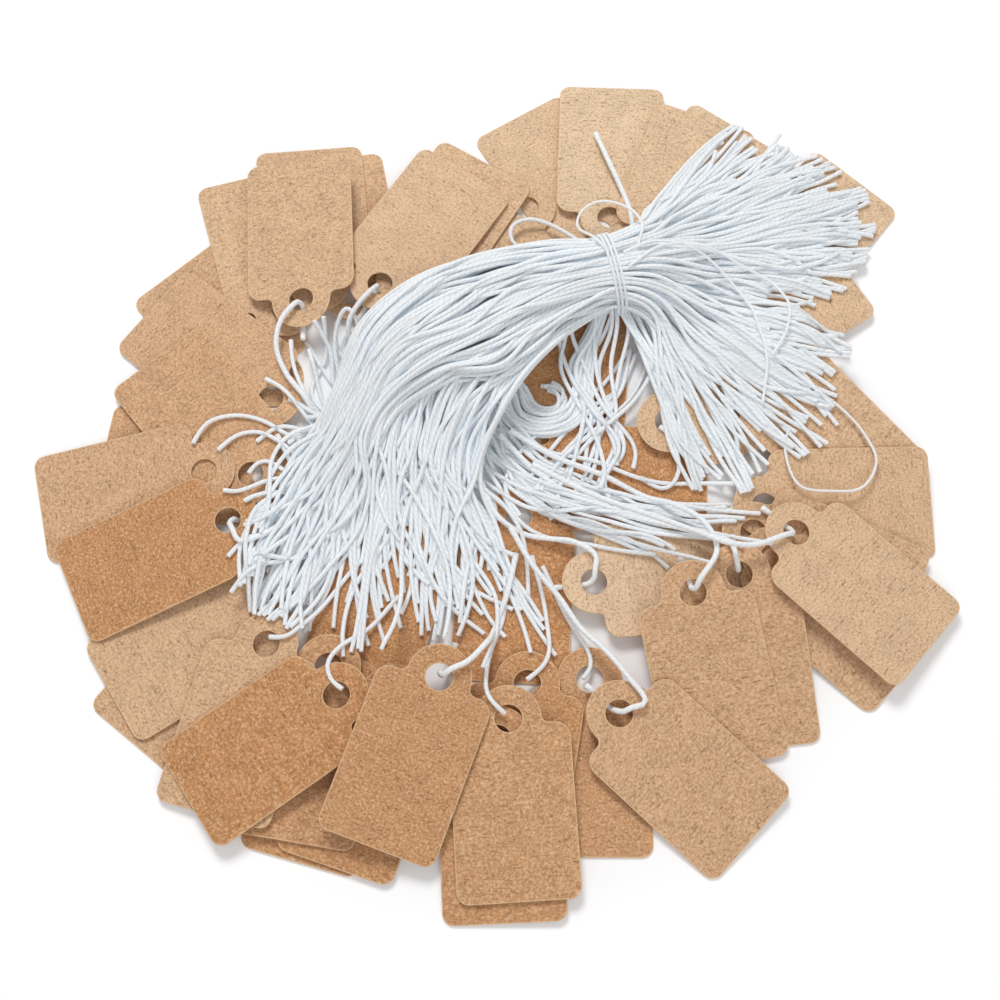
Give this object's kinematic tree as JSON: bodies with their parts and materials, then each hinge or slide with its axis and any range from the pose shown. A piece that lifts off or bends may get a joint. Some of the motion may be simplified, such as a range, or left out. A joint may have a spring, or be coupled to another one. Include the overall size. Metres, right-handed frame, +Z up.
{
  "type": "jewelry tag",
  "caption": "Bundle of small strung price tags: rounded kraft cards with an eyelet ear, each on a looped string, spread in a ring with the strings tied in a hank.",
  "frame": {"origin": "on the table, under the middle of the box round the ring of tags", "axes": "+Z up from the table, -Y towards the viewer of the picture, +X to the viewer's right"},
  "size_m": [0.1766, 0.173, 0.0176],
  "materials": {
    "card": "matt uncoated kraft card",
    "string": "twisted white cotton string",
    "thread": "thin white thread"
  },
  "bodies": {
    "bundle": {"hank": "string", "hank_tie": "thread", "hank_cut_ends": "string", "hank_loops": "string", "loose_end": "string", "thread_loop": "thread", "string_back_left_5": "string", "string_front_right_1": "string", "string_front_right_3": "string", "string_front_right_4": "string", "string_front_left_5": "string"},
    "string_back_left_3": {"string_back_left_3": "string"},
    "string_left_3": {"string_left_3": "string"},
    "string_right_6": {"string_right_6": "string"},
    "string_front_right_5": {"string_front_right_5": "string"},
    "tag_middle_1": {"tag_middle_1": "card"},
    "tag_middle_2": {"tag_middle_2": "card"},
    "tag_middle_3": {"tag_middle_3": "card"},
    "tag_middle_4": {"tag_middle_4": "card"},
    "tag_front_left_1": {"tag_front_left_1": "card"},
    "tag_front_left_2": {"tag_front_left_2": "card"},
    "tag_low_left_1": {"tag_low_left_1": "card"},
    "tag_low_left_2": {"tag_low_left_2": "card"},
    "tag_front_left_3": {"tag_front_left_3": "card"},
    "tag_low_left_3": {"tag_low_left_3": "card"},
    "tag_left_1": {"tag_left_1": "card"},
    "tag_high_left_1": {"tag_high_left_1": "card"},
    "tag_high_left_2": {"tag_high_left_2": "card"},
    "tag_high_left_3": {"tag_high_left_3": "card"},
    "tag_high_left_4": {"tag_high_left_4": "card"},
    "tag_back_left_1": {"tag_back_left_1": "card"},
    "tag_back_left_2": {"tag_back_left_2": "card"},
    "tag_back_1": {"tag_back_1": "card"},
    "tag_back_2": {"tag_back_2": "card"},
    "tag_back_left_4": {"tag_back_left_4": "card"},
    "tag_back_left_5": {"tag_back_left_5": "card"},
    "tag_back_left_3": {"tag_back_left_3": "card"},
    "tag_back_3": {"tag_back_3": "card"},
    "tag_back_4": {"tag_back_4": "card"},
    "tag_back_5": {"tag_back_5": "card"},
    "tag_back_right_1": {"tag_back_right_1": "card"},
    "tag_back_right_2": {"tag_back_right_2": "card"},
    "tag_right_1": {"tag_right_1": "card"},
    "tag_right_2": {"tag_right_2": "card"},
    "tag_front_right_1": {"tag_front_right_1": "card"},
    "tag_right_3": {"tag_right_3": "card"},
    "tag_right_4": {"tag_right_4": "card"},
    "tag_right_5": {"tag_right_5": "card"},
    "tag_front_right_2": {"tag_front_right_2": "card"},
    "tag_front_1": {"tag_front_1": "card"},
    "tag_front_2": {"tag_front_2": "card"},
    "tag_left_2": {"tag_left_2": "card"},
    "tag_left_3": {"tag_left_3": "card"},
    "tag_front_right_3": {"tag_front_right_3": "card"},
    "tag_front_right_4": {"tag_front_right_4": "card"},
    "tag_right_6": {"tag_right_6": "card"},
    "tag_front_3": {"tag_front_3": "card"},
    "tag_front_left_4": {"tag_front_left_4": "card"},
    "tag_front_left_5": {"tag_front_left_5": "card"},
    "tag_front_right_5": {"tag_front_right_5": "card"}
  },
  "joints": [
    {"name": "lift_front_right_5", "type": "hinge", "parent": "bundle", "child": "string_front_right_5", "pos_m": [0.01297, -0.02775, 0.00475], "axis": [-0.8093, -0.5874, 0], "range_deg": [0, 40]},
    {"name": "lift_right_6", "type": "hinge", "parent": "bundle", "child": "string_right_6", "pos_m": [0.03897, -0.01675, 0.01], "axis": [-0.2664, -0.9639, 0], "range_deg": [0, 40]},
    {"name": "lift_left_3", "type": "hinge", "parent": "bundle", "child": "string_left_3", "pos_m": [-0.03503, -0.00975, 0.00052], "axis": [-0.3385, 0.941, 0], "range_deg": [0, 40]},
    {"name": "lift_back_left_3", "type": "hinge", "parent": "bundle", "child": "string_back_left_3", "pos_m": [-0.03303, 0.00925, 0.00052], "axis": [0.9875, 0.1577, 0], "range_deg": [0, 40]},
    {"name": "swing_middle_1", "type": "hinge", "parent": "bundle", "child": "tag_middle_1", "pos_m": [0.01547, 0.00725, 0], "axis": [0, 0, 1], "range_deg": [-19, 19]},
    {"name": "swing_middle_2", "type": "hinge", "parent": "bundle", "child": "tag_middle_2", "pos_m": [0.00997, -0.00175, 0.00085], "axis": [0.0182, -0.0208, 0.9996], "range_deg": [-19, 19]},
    {"name": "swing_middle_3", "type": "hinge", "parent": "bundle", "child": "tag_middle_3", "pos_m": [0.00547, -0.01075, 0.00147], "axis": [0, -0.0444, 0.999], "range_deg": [-11, 19]},
    {"name": "swing_middle_4", "type": "hinge", "parent": "bundle", "child": "tag_middle_4", "pos_m": [-0.01553, -0.00875, 0.00196], "axis": [-0.036, -0.0444, 0.9984], "range_deg": [-7, 13]},
    {"name": "swing_front_left_1", "type": "hinge", "parent": "bundle", "child": "tag_front_left_1", "pos_m": [-0.02553, -0.04425, 0.00101], "axis": [-0.0064, -0.0297, 0.9995], "range_deg": [-16, 15]},
    {"name": "swing_front_left_2", "type": "hinge", "parent": "bundle", "child": "tag_front_left_2", "pos_m": [-0.01753, -0.04575, 0.00176], "axis": [-0.0064, -0.0297, 0.9995], "range_deg": [-19, 5]},
    {"name": "swing_low_left_1", "type": "hinge", "parent": "bundle", "child": "tag_low_left_1", "pos_m": [-0.04503, -0.02875, 0], "axis": [0, 0, 1], "range_deg": [-19, 14]},
    {"name": "swing_low_left_2", "type": "hinge", "parent": "bundle", "child": "tag_low_left_2", "pos_m": [-0.04253, -0.02775, 0.00075], "axis": [0, 0, 1], "range_deg": [-16, 19]},
    {"name": "swing_front_left_3", "type": "hinge", "parent": "bundle", "child": "tag_front_left_3", "pos_m": [-0.02953, -0.04025, 0.0026], "axis": [-0.0064, -0.0297, 0.9995], "range_deg": [-3, 17]},
    {"name": "swing_low_left_3", "type": "hinge", "parent": "bundle", "child": "tag_low_left_3", "pos_m": [-0.04103, -0.03625, 0.00341], "axis": [-0.1067, -0.019, 0.9941], "range_deg": [-3, 19]},
    {"name": "swing_left_1", "type": "hinge", "parent": "bundle", "child": "tag_left_1", "pos_m": [-0.04353, -0.00175, 0], "axis": [0, 0, 1], "range_deg": [-8, 19]},
    {"name": "swing_high_left_1", "type": "hinge", "parent": "bundle", "child": "tag_high_left_1", "pos_m": [-0.04303, 0.01875, 0], "axis": [0, 0, 1], "range_deg": [-13, 7]},
    {"name": "swing_high_left_2", "type": "hinge", "parent": "bundle", "child": "tag_high_left_2", "pos_m": [-0.04153, 0.03375, 0.00075], "axis": [0.022, 0.022, 0.9995], "range_deg": [-19, 15]},
    {"name": "swing_high_left_3", "type": "hinge", "parent": "bundle", "child": "tag_high_left_3", "pos_m": [-0.04303, 0.01375, 0.0018], "axis": [-0.0569, -0.0329, 0.9978], "range_deg": [-11, 6]},
    {"name": "swing_high_left_4", "type": "hinge", "parent": "bundle", "child": "tag_high_left_4", "pos_m": [-0.04603, -0.00225, 0.00189], "axis": [-0.0544, -0.0309, 0.998], "range_deg": [-19, 9]},
    {"name": "swing_back_left_1", "type": "hinge", "parent": "bundle", "child": "tag_back_left_1", "pos_m": [-0.02803, 0.03725, 0.00109], "axis": [0.0391, 0.0282, 0.9988], "range_deg": [-19, 19]},
    {"name": "swing_back_left_2", "type": "hinge", "parent": "bundle", "child": "tag_back_left_2", "pos_m": [-0.03453, 0.03875, 0.00205], "axis": [0.0391, 0.0282, 0.9988], "range_deg": [-19, 3]},
    {"name": "swing_back_1", "type": "hinge", "parent": "bundle", "child": "tag_back_1", "pos_m": [0.02247, 0.05225, 0], "axis": [0, 0, 1], "range_deg": [-19, 19]},
    {"name": "swing_back_2", "type": "hinge", "parent": "bundle", "child": "tag_back_2", "pos_m": [0.00747, 0.05725, 0.00102], "axis": [0.0394, 0.0039, 0.9992], "range_deg": [-19, 19]},
    {"name": "swing_back_left_4", "type": "hinge", "parent": "bundle", "child": "tag_back_left_4", "pos_m": [-0.01703, 0.03925, 0.0028], "axis": [0.0394, 0.0039, 0.9992], "range_deg": [-19, 19]},
    {"name": "swing_back_left_5", "type": "hinge", "parent": "bundle", "child": "tag_back_left_5", "pos_m": [-0.02203, 0.03725, 0.00507], "axis": [0.0587, 0.0387, 0.9975], "range_deg": [-19, 17]},
    {"name": "swing_back_left_3", "type": "hinge", "parent": "string_back_left_3", "child": "tag_back_left_3", "pos_m": [-0.03753, 0.03375, 0.00499], "axis": [-0.1902, -0.0126, 0.9817], "range_deg": [-19, 9]},
    {"name": "swing_back_3", "type": "hinge", "parent": "bundle", "child": "tag_back_3", "pos_m": [0.03347, 0.05075, 0.00083], "axis": [0.0199, 0.0133, 0.9997], "range_deg": [-19, 13]},
    {"name": "swing_back_4", "type": "hinge", "parent": "bundle", "child": "tag_back_4", "pos_m": [0.02447, 0.05425, 0.00184], "axis": [-0.0072, 0.0323, 0.9995], "range_deg": [-7, 17]},
    {"name": "swing_back_5", "type": "hinge", "parent": "bundle", "child": "tag_back_5", "pos_m": [0.03497, 0.04825, 0.00293], "axis": [0.0603, 0.0322, 0.9977], "range_deg": [-19, 9]},
    {"name": "swing_back_right_1", "type": "hinge", "parent": "bundle", "child": "tag_back_right_1", "pos_m": [0.05547, 0.03925, 0.0023], "axis": [0.0805, 0, 0.9968], "range_deg": [-19, 13]},
    {"name": "swing_back_right_2", "type": "hinge", "parent": "bundle", "child": "tag_back_right_2", "pos_m": [0.04497, 0.02475, 0.0039], "axis": [0.0805, 0, 0.9968], "range_deg": [-13, 9]},
    {"name": "swing_right_1", "type": "hinge", "parent": "bundle", "child": "tag_right_1", "pos_m": [0.03447, 0.00825, 0.00321], "axis": [0.0372, -0.189, 0.9813], "range_deg": [-19, 5]},
    {"name": "swing_right_2", "type": "hinge", "parent": "bundle", "child": "tag_right_2", "pos_m": [0.05447, 0.01725, 0.00519], "axis": [0.0314, -0.1535, 0.9876], "range_deg": [-19, 19]},
    {"name": "swing_front_right_1", "type": "hinge", "parent": "bundle", "child": "tag_front_right_1", "pos_m": [0.01947, -0.02425, 0.00291], "axis": [0.0846, 0.0038, 0.9964], "range_deg": [-19, 5]},
    {"name": "swing_right_3", "type": "hinge", "parent": "bundle", "child": "tag_right_3", "pos_m": [0.05247, -0.00875, 0.00198], "axis": [0.0175, -0.1526, 0.9881], "range_deg": [-13, 9]},
    {"name": "swing_right_4", "type": "hinge", "parent": "bundle", "child": "tag_right_4", "pos_m": [0.04997, -0.01425, 0.00246], "axis": [0.0079, -0.0995, 0.995], "range_deg": [-17, 19]},
    {"name": "swing_right_5", "type": "hinge", "parent": "bundle", "child": "tag_right_5", "pos_m": [0.05347, -0.01925, 0.00275], "axis": [0.0059, -0.0893, 0.996], "range_deg": [-19, 3]},
    {"name": "swing_front_right_2", "type": "hinge", "parent": "bundle", "child": "tag_front_right_2", "pos_m": [0.01847, -0.04225, 0.00092], "axis": [0.0015, -0.0279, 0.9996], "range_deg": [-7, 7]},
    {"name": "swing_front_1", "type": "hinge", "parent": "bundle", "child": "tag_front_1", "pos_m": [0.00697, -0.04325, 0.00168], "axis": [-0.0482, -0.0304, 0.9984], "range_deg": [-17, 11]},
    {"name": "swing_front_2", "type": "hinge", "parent": "bundle", "child": "tag_front_2", "pos_m": [0.00147, -0.05375, 0.00309], "axis": [-0.0429, -0.0811, 0.9958], "range_deg": [-7, 19]},
    {"name": "swing_left_2", "type": "hinge", "parent": "bundle", "child": "tag_left_2", "pos_m": [-0.05503, -0.00175, 0.00218], "axis": [-0.0531, -0.029, 0.9982], "range_deg": [-19, 16]},
    {"name": "swing_left_3", "type": "hinge", "parent": "string_left_3", "child": "tag_left_3", "pos_m": [-0.04953, -0.01225, 0.00368], "axis": [-0.0775, -0.014, 0.9969], "range_deg": [-19, 19]},
    {"name": "swing_front_right_3", "type": "hinge", "parent": "bundle", "child": "tag_front_right_3", "pos_m": [0.04647, -0.02325, 0.00465], "axis": [0.0217, -0.1376, 0.9902], "range_deg": [-11, 19]},
    {"name": "swing_front_right_4", "type": "hinge", "parent": "bundle", "child": "tag_front_right_4", "pos_m": [0.03747, -0.02725, 0.00644], "axis": [0.029, -0.181, 0.9831], "range_deg": [-3, 19]},
    {"name": "swing_right_6", "type": "hinge", "parent": "string_right_6", "child": "tag_right_6", "pos_m": [0.05747, -0.01525, 0.00531], "axis": [0.1146, 0.0168, 0.9933], "range_deg": [-19, 5]},
    {"name": "swing_front_3", "type": "hinge", "parent": "bundle", "child": "tag_front_3", "pos_m": [0.00347, -0.05025, 0.00421], "axis": [-0.0429, -0.0811, 0.9958], "range_deg": [-13, 16]},
    {"name": "swing_front_left_4", "type": "hinge", "parent": "bundle", "child": "tag_front_left_4", "pos_m": [-0.02753, -0.04625, 0.00542], "axis": [-0.1067, -0.019, 0.9941], "range_deg": [-19, 15]},
    {"name": "swing_front_left_5", "type": "hinge", "parent": "bundle", "child": "tag_front_left_5", "pos_m": [-0.00903, -0.04325, 0.00695], "axis": [0.1111, -0.1275, 0.9856], "range_deg": [-19, 3]},
    {"name": "swing_front_right_5", "type": "hinge", "parent": "string_front_right_5", "child": "tag_front_right_5", "pos_m": [0.02347, -0.04925, 0.00394], "axis": [0.0129, -0.1244, 0.9921], "range_deg": [-16, 19]}
  ]
}
